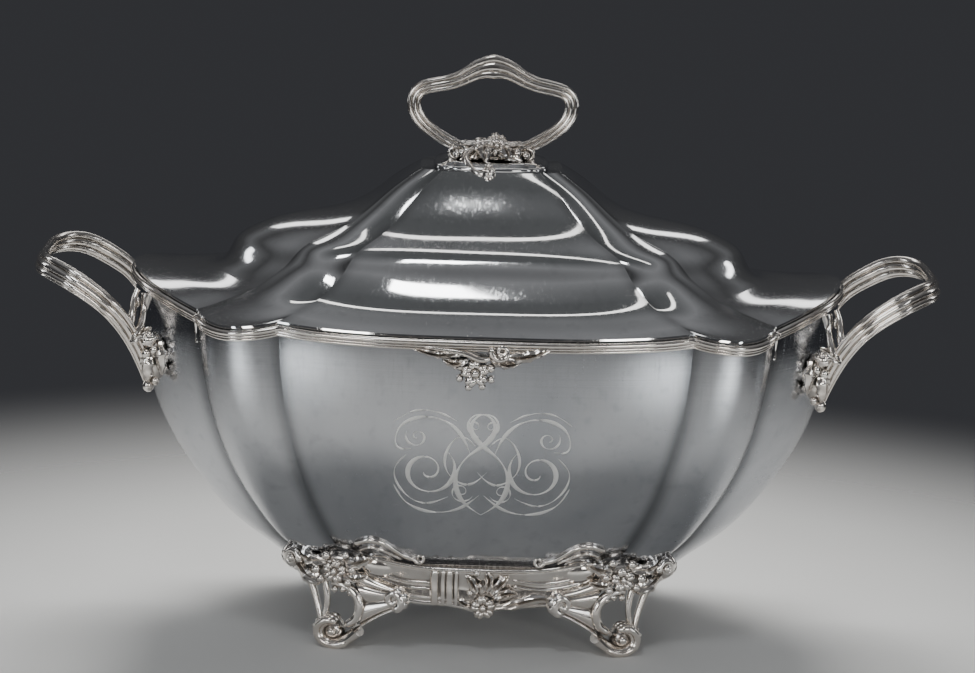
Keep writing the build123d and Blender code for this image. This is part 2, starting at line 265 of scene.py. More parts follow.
def leaf(bm, points, width, up, thick=0.9, scallops=4, cup=0.0, steps=28, across=20):
    """A cast leaf along a curve: scalloped outline, grooved midrib, veins, closed all round."""
    path = curve_through(points)
    up = Vector(up)
    frames = []
    for k in range(steps + 1):
        v = k / steps
        ahead = (Vector(path(min(1, v + 0.01))) - Vector(path(max(0, v - 0.01)))).normalized()
        lift = (up - up.dot(ahead) * ahead).normalized()
        frames.append((Vector(path(v)), ahead.cross(lift), lift))

    def place(i, j):
        spot, side, lift = frames[j]
        v = j / steps
        body = math.sin(math.pi * v ** 0.8) ** 0.6 if 0 < v < 1 else 0
        notch = 1 - 0.30 * abs(math.sin(scallops * math.pi * v)) ** 0.7
        a = 2 * math.pi * i / across
        x = math.cos(a)
        rise = math.sin(a) * thick * body
        if rise > 0:
            rise *= 1 - 0.55 * math.exp(-(x / 0.16) ** 2) + 0.22 * math.cos(9 * x + 5 * v)
        return spot + side * (x * width * body * notch) + lift * (rise + cup * width * x * x * body)

    bent_grid(bm, across, steps, place)


def flower(bm, centre, radius, out, petals=5, phase=0.3):
    """An open flower facing out: plump petals with a crease, round a beaded middle."""
    centre, out = Vector(centre), Vector(out).normalized()
    right = out.orthogonal().normalized()
    ahead = out.cross(right)
    for k in range(petals):
        a = 2 * math.pi * k / petals + phase
        away = right * math.cos(a) + ahead * math.sin(a)
        across = out.cross(away)
        for sign in (-1, 1):
            spot = centre + (away * 0.60 + across * 0.15 * sign + out * 0.10) * radius
            blob(bm, spot, (radius * 0.42, radius * 0.27, radius * 0.28), axes=(away, across, out))
    blob(bm, centre + out * radius * 0.28, [radius * 0.30] * 3)


def knuckles(bm, points, radii, width):
    """A row of rounded lobes along a curve, each crossed by the next."""
    for point, radius in zip(points, radii):
        blob(bm, point, (radius, width, radius), detail=14)


def mirrored(bm, axis):
    """A copy of bm mirrored in X (0) or Y (1)."""
    copy = bm.copy()
    flip = [1, 1, 1]
    flip[axis] = -1
    bmesh.ops.scale(copy, vec=flip, verts=copy.verts)
    return copy


def finish_piece(name, bm, body, material, slot, *replaced, sharp=38):
    """Turns bm into a piece in metres that rides on body and stands for the CAD nodes named."""
    bmesh.ops.scale(bm, vec=(MM, MM, MM), verts=bm.verts)
    fill_holes(bm)
    bmesh.ops.recalc_face_normals(bm, faces=bm.faces)
    for face in bm.faces:
        face.smooth = True
    for edge in bm.edges:
        if len(edge.link_faces) == 2 and edge.calc_face_angle() > math.radians(sharp):
            edge.smooth = False
    mesh = bpy.data.meshes.new(name)
    bm.to_mesh(mesh)
    bm.free()
    mesh.materials.append(material)
    piece = bpy.data.objects.new(name, mesh)
    bpy.context.scene.collection.objects.link(piece)
    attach(piece, body)
    if replaced:
        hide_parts(*replaced)
    return piece


# ---- materials ----------------------------------------------------------------

def silver(name, bright, dull, rough, rough_spread, brushed=0.0, crevice=0.0, crevice_mm=2.2, clouds=9.0,
           cusps=0.0):
    """Silver with cloudy tarnish, fine scratches, optional level brushing, optional painted shade along
    pressed creases, and dark recesses.
    """
    material = bpy.data.materials.new(name)
    material.use_nodes = True
    nodes, links = material.node_tree.nodes, material.node_tree.links
    shader = nodes["Principled BSDF"]
    shader.inputs["Metallic"].default_value = 1.0
    place = nodes.new("ShaderNodeTexCoord").outputs["Object"]

    def mapped(scale):
        mapping = nodes.new("ShaderNodeMapping")
        mapping.inputs["Scale"].default_value = scale
        links.new(place, mapping.inputs["Vector"])
        return mapping.outputs["Vector"]

    def noise(scale, vector=None, detail=4.0, distortion=0.0):
        made = nodes.new("ShaderNodeTexNoise")
        made.inputs["Scale"].default_value = scale
        made.inputs["Detail"].default_value = detail
        made.inputs["Distortion"].default_value = distortion
        links.new(vector if vector is not None else place, made.inputs["Vector"])
        return made.outputs["Fac"]

    def ranged(value, low_in, high_in, low, high):
        made = nodes.new("ShaderNodeMapRange")
        for key, number in (("From Min", low_in), ("From Max", high_in), ("To Min", low), ("To Max", high)):
            made.inputs[key].default_value = number
        links.new(value, made.inputs["Value"])
        return made.outputs["Result"]

    def mixed(factor, first, second):
        made = nodes.new("ShaderNodeMix")
        made.data_type = "RGBA"
        links.new(factor, made.inputs["Factor"])
        for key, colour in ((6, first), (7, second)):
            if isinstance(colour, tuple):
                made.inputs[key].default_value = (*colour, 1)
            else:
                links.new(colour, made.inputs[key])
        return made.outputs[2]

    def added(first, second, amount):
        made = nodes.new("ShaderNodeMath")
        made.operation = "MULTIPLY_ADD"
        links.new(second, made.inputs[0])
        made.inputs[1].default_value = amount
        links.new(first, made.inputs[2])
        return made.outputs[0]

    cloud = ranged(noise(clouds, distortion=0.8), 0.38, 0.68, 0.0, 1.0)
    colour = mixed(cloud, bright, dull)
    speck = ranged(noise(160.0, detail=3.0), 0.55, 0.80, 0.0, 0.35)
    colour = mixed(speck, colour, tuple(c * 0.8 for c in dull))
    scratches = noise(1.0, mapped((900.0, 700.0, 60.0)), detail=3.0)
    roughness = ranged(cloud, 0.0, 1.0, rough, rough + rough_spread)
    roughness = added(roughness, ranged(scratches, 0.5, 0.8, 0.0, 1.0), 0.10)
    height = ranged(scratches, 0.58, 0.8, 0.0, 0.35)
    if brushed:
        lines = noise(1.0, mapped((14.0, 14.0, 2600.0)), detail=2.0)
        height = added(height, lines, brushed)
        roughness = added(roughness, ranged(lines, 0.35, 0.7, -0.5, 0.5), 0.10)
    # Painted shade: the colour is darkened along the pressed creases, towards a quarter of the dull tone,
    # and the tarnish clouds vary its strength.
    if cusps:
        near = nodes.new("ShaderNodeAttribute")
        near.attribute_name = "crease_shade_mask"
        crease_shade = nodes.new("ShaderNodeMath")
        crease_shade.operation = "MULTIPLY"
        links.new(near.outputs["Fac"], crease_shade.inputs[0])
        links.new(ranged(cloud, 0.0, 1.0, 0.75 * cusps, cusps), crease_shade.inputs[1])
        colour = mixed(crease_shade.outputs[0], colour, tuple(c * 0.25 for c in dull))
    if crevice:
        shade = nodes.new("ShaderNodeAmbientOcclusion")
        shade.samples = 6
        shade.only_local = True
        shade.inputs["Distance"].default_value = crevice_mm * MM
        dark = ranged(shade.outputs["AO"], 0.30, 0.85, crevice, 0.0)
        colour = mixed(dark, colour, (0.085, 0.068, 0.055))
        roughness = added(roughness, dark, 0.25)
    links.new(colour, shader.inputs["Base Color"])
    links.new(roughness, shader.inputs["Roughness"])
    bump = nodes.new("ShaderNodeBump")
    bump.inputs["Strength"].default_value = 0.12
    bump.inputs["Distance"].default_value = 0.02 * MM
    links.new(height, bump.inputs["Height"])
    links.new(bump.outputs["Normal"], shader.inputs["Normal"])
    return material


# The cusps amounts set how strongly the creases of bowl and lid are darkened with painted shade.
satin = silver("satin_silver", (0.52, 0.53, 0.55), (0.33, 0.345, 0.37), 0.15, 0.07, brushed=0.5, cusps=0.8)
polish = silver("polished_silver", (0.80, 0.80, 0.795), (0.64, 0.64, 0.64), 0.05, 0.06, cusps=0.5)
cast = silver("cast_silver", (0.90, 0.86, 0.81), (0.72, 0.66, 0.60), 0.11, 0.09, crevice=0.7, clouds=40.0)
inside = silver("lid_inside_silver", (0.66, 0.65, 0.63), (0.46, 0.44, 0.42), 0.22, 0.12, brushed=0.4)
engraved = silver("engraved_line", (0.92, 0.92, 0.90), (0.78, 0.78, 0.77), 0.38, 0.10, brushed=1.0)
fastener = silver("fastener_brass", (0.66, 0.53, 0.30), (0.42, 0.33, 0.19), 0.30, 0.12, crevice=0.7)


# ---- bowl ----------------------------------------------------------------------

BASE_SCALE = 0.55
BOWL_STATIONS = [
    (FLOOR_Z, BASE_SCALE), (33, 0.605), (43, 0.69), (57, 0.775),
    (78, 0.868), (101, 0.932), (122, 0.966), (137, 0.979),
]
bowl_curve_rows = rows_through([row(s, z) for z, s in BOWL_STATIONS] + [row(RIM_SCALE, list(RIM))], 72)


def shift_row(level, scale, drop):
    """The same level line moved in by scale and down by drop."""
    moved = list(level)
    moved[0] -= scale
    moved[8] -= scale
    for k in range(1, 5):
        moved[k] -= drop
    return moved


HALF_CHORD = {
    "long": CUSP_A[0],
    "corner": math.dist(CUSP_A, CUSP_B) / 2,
    "end": CUSP_B[1],
}
CREASE_REACH = 3.2       # how far the painted crease shade spreads out of a pressed crease
CREASE_FADE = 6          # the height over which it fades above the bowl's floor


def lobed_sheet(bm, levels):
    """A lobed sheet through the level lines, marked along its creases for the painted crease shade."""
    spots = plan_columns()

    def nearness(i, j):
        index, s = spots[i]
        away = (1 - abs(s)) * HALF_CHORD[LOBES[index]] * levels[j][0]
        above_floor = (levels[j][1] - FLOOR_Z - BOWL_FLOOR - 0.1) / CREASE_FADE
        return min(1, max(0, above_floor)) * math.exp(-(away / CREASE_REACH) ** 2)

    bent_grid(bm, len(spots) - 1, len(levels) - 1, lambda i, j: lobe_spot(*spots[i], levels[j]), nearness)


def flat_rows(scale, z, count):
    """Level lines that close a lobed sheet to its middle."""
    return [row(scale * k / count, z) for k in range(count)]


def make_bowl():
    outer = bowl_curve_rows
    inner = [shift_row(level, WALL_SCALE, 0) for level in outer]
    inner = [level for level in inner if level[1] > FLOOR_Z + BOWL_FLOOR + 0.5]
    floor_in = flat_rows(inner[0][0] - 0.01, FLOOR_Z + BOWL_FLOOR, 8)
    bm = bmesh.new()
    lobed_sheet(bm, flat_rows(BASE_SCALE, FLOOR_Z, 8) + list(outer) + inner[::-1] + floor_in[::-1])
    finish_piece("bowl", bm, BOWL, satin, "bowl_satin_silver", "bowl", sharp=16)


make_bowl()


# ---- rim border -------------------------------------------------------------------

def border_section():
    """The reeded face of the border: distance out from the wall and height under its top."""
    face = [(-0.7, -0.2), (0.2, 0.0)]
    face += arc(1.0, -1.25, 1.25, 88, -52, 9)
    face += arc(1.05, -2.75, 0.72, 48, -50, 7)
    face += arc(0.55, -3.95, 0.78, 50, -80, 7)
    return face + [(-0.7, -4.75)]


def plan_normal(index, s, level):
    step = 0.01
    a, b = lobe_spot(index, max(-1, s - step), level), lobe_spot(index, min(1, s + step), level)
    along = b - a
    return Vector((along.y, -along.x, 0)).normalized()


def make_border(index):
    kind = LOBES[index]
    level = row(RIM_SCALE, list(RIM))
    face = border_section()
    count = COLUMNS[kind] * 2
    spots = [math.sin(math.pi / 2 * (2 * k / count - 1)) for k in range(count + 1)]

    def place(i, j):
        out, drop = face[j % len(face)]
        s = spots[i]
        return lobe_spot(index, s, level) + plan_normal(index, s, level) * out + Vector((0, 0, drop))

    bm = bmesh.new()
    bent_grid(bm, count, len(face), place)
    name = "rim_border_" + LOBE_NAMES[index]
    finish_piece(name, bm, BOWL, cast, "cast_silver", name, sharp=50)


for index in range(8):
    make_border(index)


def make_cusp_lugs():
    """A small curled lug on each cusp; next to an end lobe it has a drop below it."""
    bm = bmesh.new()
    level = row(RIM_SCALE, list(RIM))
    for index in range(8):
        spot = lobe_spot(index, -1, level)
        out = Vector((spot.x, spot.y, 0)).normalized()
        side = Vector((-out.y, out.x, 0))
        top = spot + out * 0.9

        def near(along, forward, down):
            return top + side * along + out * forward - Vector((0, 0, down))

        for sign in (-1, 1):
            curl = [near(sign * 7.0, -0.6, 1.2), near(sign * 3.4, 0.3, 0.7), near(sign * 1.0, 0.8, 1.6)]
            rod(bm, curl, lambda v: 0.6 + 0.7 * v, steps=10, up=out, tip=0.2)
        blob(bm, near(0, 0, 2.0), (1.7, 1.7, 1.9))
        if index in (2, 3, 6, 7):
            lean = 1.2 if index in (2, 6) else -1.2
            drop = [near(lean, -0.4, 3.6), near(lean * 1.5, -1.0, 8.0), near(lean * 1.5, -1.7, 14.0)]
            rod(bm, drop, lambda v: 0.95 - 0.45 * math.sin(math.pi * v) + 0.35 * v,
                steps=14, up=out, tip=0.15)
    finish_piece("rim_cusp_lugs", bm, BOWL, cast, "cast_silver", "rim_cusp_beads")


make_cusp_lugs()


def panel_spot(x, z, out=0.0):
    """The point of the front panel at x and height z, set out from the sheet."""
    heights = [level[1] for level in bowl_curve_rows]
    scale = float(np.interp(z, heights, [level[0] for level in bowl_curve_rows]))
    s = max(-1.0, min(1.0, x / (CUSP_A[0] * scale)))
    y = CUSP_A[1] * scale + LONG_BULGE * scale * (1 - abs(s) ** FULLNESS["long"]) + out
    return Vector((x, -y, z))


# ---- lid ------------------------------------------------------------------------

LID_STATIONS = [
    (0.930, 148.5, 146.8, 155.2, 31.7, 2.5),
    (0.860, 151.3, 149.5, 154.8, 30.4, 2.0),
    (0.800, 154.0, 152.3, 154.8, 27.8, 1.5),
    (0.740, 158.5, 157.8, 157.5, 25.2, 1.0),
    (0.690, 163.7, 164.2, 165.0, 26.4, 0.5),
    (0.640, 170.5, 171.3, 171.3, 26.1, 0.0),
    (0.580, 174.5, 175.0, 176.8, 20.0, 0.0),
    (0.500, 179.0, 179.0, 180.3, 10.5, 0.0),
    (0.420, 185.8, 185.3, 185.0, 4.9, 0.0),
    (0.350, 193.2, 193.0, 192.0, 2.1, 0.0),
    (0.290, 198.7, 199.0, 198.3, 1.0, 0.0),
]
LID_TOP_SCALE, LID_TOP_Z = 0.24, 202.6


def lid_levels():
    stations = [row(EDGE_SCALE, list(EDGE))]
    for s, cusp, long, end, bulge, dip in LID_STATIONS:
        corner = CORNER_BULGE * s * (0.5 + 0.5 * s)
        stations.append(row(s, [cusp, long, end, cusp - dip], [LONG_BULGE * s, bulge, corner]))
    top_bulges = [LONG_BULGE * LID_TOP_SCALE, 1.0, CORNER_BULGE * LID_TOP_SCALE * 0.5]
    stations.append(row(LID_TOP_SCALE, LID_TOP_Z, top_bulges))
    return rows_through(stations, 110)


def make_lid():
    outer = lid_levels()
    inner = [shift_row(level, WALL_SCALE * 0.6, WALL) for level in outer]
    edge = [shift_row(outer[0], 0, 0.95 * WALL), shift_row(outer[0], -0.0015, 0.6 * WALL)]
    crown = flat_rows(LID_TOP_SCALE, LID_TOP_Z, 5)
    crown_in = flat_rows(inner[-1][0], LID_TOP_Z - WALL, 5)
    bm = bmesh.new()
    lobed_sheet(bm, crown_in + inner[::-1] + edge + list(outer) + crown[::-1])
    finish_piece("lid", bm, LID, polish, "lid_polished_silver", "lid", sharp=16)


make_lid()


def make_step():
    """The low lobed step under the finial."""
    stations = [(0, 0.190, 0.235), (1.0, 0.193, 0.238), (1.9, 0.187, 0.231), (2.4, 0.176, 0.216),
                (3.0, 0.165, 0.200), (3.1, 0.120, 0.150)]
    levels = rows_through([row(s, LID_TOP_Z + z, [2.4, 1.2, 1.5], d) for z, s, d in stations], 28)
    foot = [row(0, LID_TOP_Z, [0, 0, 0], 0)]
    top = [row(0, LID_TOP_Z + 3.1, [0, 0, 0], 0)]
    bm = bmesh.new()
    lobed_sheet(bm, foot + levels + top)
    finish_piece("lid_top_step", bm, LID, polish, "lid_polished_silver", "lid_top_step", sharp=30)


make_step()


# ---- finial --------------------------------------------------------------------

LOOP_HALF = [(7.0, 209.0), (12.0, 209.6), (20.4, 213.4), (30.0, 220.2), (34.2, 227.8), (32.8, 233.6),
             (25.0, 237.0), (15.0, 239.7), (7.2, 243.9), (0.0, 245.5)]


def make_loop():
    half = [(x, 0, z) for x, z in LOOP_HALF]
    points = half + [(-x, y, z) for x, y, z in half[-2::-1]]
    path = curve_through(points)

    def size(v):
        rise = 1 - abs(2 * v - 1)
        width = 2.6 + 0.9 * rise + 1.9 * max(0.0, (rise - 0.74) / 0.26) ** 2
        return width, min(1.15 * width, 3.9)

    bm = bmesh.new()
    middle = Vector((0, 0, 226))
    sweep(bm, path, LOOP_REEDS, size, lambda v: Vector(path(v)) - middle, 180)
    finish_piece("finial_loop", bm, LID, cast, "cast_silver", "finial_loop")


make_loop()


def make_finial_foliage():
    bm = bmesh.new()
    base = LID_TOP_Z + 3
    for side in (-1, 1):
        for y in (-1, 1):
            low = [(side * 2, y * 3, base + 2), (side * 7, y * 7.0, base + 2.6),
                   (side * 13.5, y * 8.6, base + 0.2)]
            leaf(bm, low, 3.2, (0, y * 0.6, 1), thick=1.6, cup=-0.2)
            high = [(side * 4, y * 2, base + 3), (side * 9, y * 4.6, base + 5),
                    (side * 14.5, y * 4.0, base + 6.2)]
            leaf(bm, high, 2.6, (0, y, 0.6), thick=1.5)
            blob(bm, (side * 11.0, y * 5.6, base + 3.4), (2.3, 2.0, 2.1))
            blob(bm, (side * 14.8, y * 4.2, base + 2.0), (2.0, 1.8, 1.8))
        stem = [(side * 1, 0, base + 3), (side * 7, 0, base + 3.6), (side * 13, 0, base + 4.6)]
        rod(bm, stem, 3.4, tip=0.25)
        curl = spiral((side * 15.6, -2, base + 1.8), 3.0, 0.8, 100, -side * 0.9, (1, 0, 0), (0, 0, 1))
        rod(bm, curl, lambda v: 1.3 - 0.6 * v, steps=40, tip=0.08)
    for y in (-1, 1):
        # a scroll hooks forward over the lid's shoulder and carries the hanging bud
        hook = [(-6.5, y * 6.0, base + 5.0), (-10.5, y * 11.5, base + 2.6), (-9.5, y * 17.5, base - 0.6),
                (-5.0, y * 21.4, base - 3.4), (-1.2, y * 22.2, base - 3.2)]
        rod(bm, hook, lambda v: 1.9 - 0.7 * v, up=(0, y, 0.4), tip=0.08, steps=40)
        long_leaf = [(-2, y * 4, base + 6.5), (-3, y * 10.5, base + 5.4), (-2, y * 17.0, base + 0.6)]
        leaf(bm, long_leaf, 4.0, (0, y, 0.6), thick=1.8)
        short_leaf = [(3, y * 4, base + 6.0), (6, y * 9.5, base + 4.6), (8, y * 13.6, base + 1.0)]
        leaf(bm, short_leaf, 3.2, (0.2, y, 0.6), thick=1.6)
        flower(bm, (2.0, y * 6.6, base + 6.2), 4.4, (0.1, y, 0.55))
        for spot, r in (((-6.0, y * 7.4, base + 5.2), 2.5), ((6.4, y * 6.6, base + 4.4), 2.2),
                        ((-2.0, y * 12.6, base + 4.2), 1.9), ((-12.6, y * 6.2, base + 3.0), 1.8)):
            blob(bm, spot, (r, r * 0.9, r))
    blob(bm, (0, 0, base + 3.6), (10, 6, 4.6), detail=20)
    blob(bm, (0, 0, base + 1.2), (10.5, 8.5, 2.0), detail=24)
    finish_piece("finial_foliage", bm, LID, cast, "cast_silver", "finial_foliage")


make_finial_foliage()


BUD_AT = (-1, 22.0, 202.4)
BUD_RIBS = 7


def make_buds():
    """The ribbed buds that hang over the front and back shoulders of the lid."""
    bm = bmesh.new()
    x, out, z = BUD_AT
    for y in (-1, 1):
        blob(bm, (x, y * out, z), (2.9, 2.9, 2.9), detail=20)
        blob(bm, (x, y * (out - 1.4), z + 3.2), (1.7, 1.7, 1.5))
        for k in range(BUD_RIBS):
            a = 2 * math.pi * k / BUD_RIBS
            rib = (x + 2.1 * math.cos(a), y * (out + 2.1 * math.sin(a)), z + 1.2)
            blob(bm, rib, (0.95, 0.95, 1.7), detail=10)
    finish_piece("finial_buds", bm, LID, cast, "cast_silver", "finial_buds")


make_buds()


# ---- handles ---------------------------------------------------------------------

HANDLE_HALF = [(144.4, -33.5, 110.5), (147.8, -36, 120), (153.4, -39.2, 132.2), (161.0, -41.6, 142.6),
               (170.5, -40.2, 149.8), (180.0, -37.4, 155.0), (188.0, -30.0, 157.2), (193.0, -19, 157.4),
               (194.2, -7, 157.4)]


def make_handle():
    points = HANDLE_HALF + [(x, -y, z) for x, y, z in reversed(HANDLE_HALF)]
    path = curve_through(points)

    def size(v):
        rise = min(1.0, (1 - abs(2 * v - 1)) / 0.6)
        grow = rise * rise * (3 - 2 * rise)
        width = 3.2 + 1.75 * grow
        return width, width * 1.3

    bm = bmesh.new()
    sweep(bm, path, HANDLE_REEDS, size, (-0.42, 0, 0.9), 200)
    return bm


def make_mount():
    """Leaves and buds where the front right arm meets the end lobe."""
    bm = bmesh.new()
    out = (0.72, -0.69, 0.05)
    leaf(bm, [(143, -34, 128), (145.5, -37.0, 119), (145.0, -34.5, 108)], 5.0, out, thick=2.4, cup=-0.15)
    leaf(bm, [(141.5, -36, 131), (139.8, -39.8, 124), (138.6, -38.0, 113)], 3.8, (0.5, -0.85, 0), thick=2.0)
    leaf(bm, [(146, -30, 130), (147.5, -28.5, 121), (146, -28, 112)], 4.0, (0.95, -0.3, 0), thick=2.0)
    leaf(bm, [(152.5, -39.8, 127.5), (148, -39.6, 131), (143, -38.0, 134.0)], 3.0, (0.2, -0.9, 0.5),
         thick=1.6)
    for spot, r, out in (
        ((144.4, -38.6, 128.8), 4.0, (0.1, -0.8, 0.5)),
        ((138.6, -38.6, 121.6), 3.5, (-0.35, -0.9, 0.15)),
    ):
        blob(bm, spot, (r * 0.82, r * 0.8, r * 0.82), detail=18)
        for k in range(5):
            a = 2 * math.pi * k / 5 + 0.5
            lobe = Vector(spot) + Vector((math.cos(a), 0, math.sin(a))) * r * 0.45 + Vector(out) * r * 0.2
            blob(bm, lobe, (r * 0.5, r * 0.55, r * 0.5), detail=14)
    for spot, r in (
        ((142.0, -39.6, 124.6), 2.0), ((138.0, -37.6, 115.8), 1.8), ((145.4, -38.2, 122.6), 2.3),
    ):
        blob(bm, spot, (r, r * 0.85, r), detail=14)
    blob(bm, (145.0, -34.5, 107.6), (2.6, 2.6, 2.9), detail=14)
    blob(bm, (142.0, -35.4, 110.0), (1.9, 1.9, 2.1), detail=12)
    blob(bm, (142.8, -33.5, 119), (5.0, 4.6, 9.5), (0, 8, 0), detail=20)
    return bm


def make_strut():
    """The forked branch from the arm up to the underside of the border."""
    bm = bmesh.new()
    rod(bm, [(149.0, -39.0, 131), (147.6, -36.8, 136.5), (146.8, -34.0, 142), (145.8, -33.0, 147.6)],
        lambda v: 2.0 - 0.9 * math.sin(math.pi * v) ** 2 + 0.5 * v, steps=24, up=(0.7, -0.7, 0))
    rod(bm, [(152.6, -39.0, 134.5), (151.8, -36.0, 139.5), (151.6, -31.8, 144.0), (150.4, -28.6, 148.2)],
        lambda v: 1.8 - 0.5 * v, steps=24, up=(0.7, -0.7, 0))
    curl = spiral((150.6, -31.2, 143.2), 2.4, 0.7, 20, 1.1, (0.6, 0.75, 0), (0, 0, 1), 14)
    rod(bm, curl, lambda v: 1.0 - 0.4 * v, steps=30, up=(0.7, -0.7, 0), tip=0.1)
    return bm


SIDES = {"front_right": (), "front_left": (0,), "back_right": (1,), "back_left": (0, 1)}


def quarter_pieces(prefix, make, body, material, slot):
    """The same casting at all four corners, mirrored from the front right one."""
    for name, flips in SIDES.items():
        bm = make()
        for axis in flips:
            bm = mirrored(bm, axis)
        finish_piece(prefix + "_" + name, bm, body, material, slot, prefix + "_" + name)


for name in ("handle_right", "handle_left"):
    bm = make_handle()
    finish_piece(name, bm if name == "handle_right" else mirrored(bm, 0), BOWL, cast, "cast_silver", name)
quarter_pieces("handle_mount", make_mount, BOWL, cast, "cast_silver")
quarter_pieces("handle_strut", make_strut, BOWL, cast, "cast_silver")


# ---- front and back rocaille --------------------------------------------------------

def make_rocaille():
    bm = bmesh.new()
    top = RIM[1] - 4.6

    def on(x, drop, out):
        return panel_spot(x, top - drop, out)

    face = (0, -1, 0.05)
    leaf(bm, [on(4, 0.5, 1.4), on(12, 2.0, 2.2), on(20, 0.6, 2.0), on(27, -1.8, 1.4)], 3.2, face,
         thick=1.7, scallops=5)
    leaf(bm, [on(2, 3.4, 1.2), on(8, 5.2, 1.8), on(15, 4.4, 0.8)], 2.2, face, thick=1.4)
    leaf(bm, [on(-7, 3.4, 1.2), on(-12, 5.2, 1.8), on(-18, 3.6, 0.8)], 2.6, face, thick=1.5)
    leaf(bm, [on(-8, 0.4, 1.6), on(-19, 1.6, 1.8), on(-31, -0.9, 1.0)], 2.0, face, thick=1.4, scallops=6)
    curl = spiral(on(6.6, -0.4, 2.4), 4.2, 0.9, 150, 1.25, (1, 0, 0), (0, 0, 1), 24)
    rod(bm, curl, lambda v: 1.5 - 0.7 * v, steps=60, up=face, tip=0.08)
    tail = [on(2.6, 2.4, 2.4), on(-1.5, 3.0, 2.6), on(-7, 1.2, 2.2), on(-15, -0.2, 1.6), on(-26, -1.6, 1.4)]
    rod(bm, tail, lambda v: 1.4 - 0.7 * v, up=face, tip=0.15, steps=36)
    flower(bm, on(-4.0, 9.2, 1.0), 6.0, (0, -1, 0.1), petals=5)
    for x, drop, r in (
        (-10.2, 6.6, 1.9), (2.4, 7.0, 1.9), (-1.0, 15.0, 1.6),
        (-6.6, 15.4, 1.7), (-10.4, 11.8, 1.6), (2.6, 12.0, 1.6),
    ):
        blob(bm, on(x, drop, 0.6), (r, r * 0.9, r), detail=10)
    return bm


finish_piece("rocaille_front", make_rocaille(), BOWL, cast, "cast_silver", "rocaille_front")
finish_piece("rocaille_back", mirrored(make_rocaille(), 1), BOWL, cast, "cast_silver", "rocaille_back")


# ---- aprons, base bands and feet -----------------------------------------------------

APRON_Y = 57.5


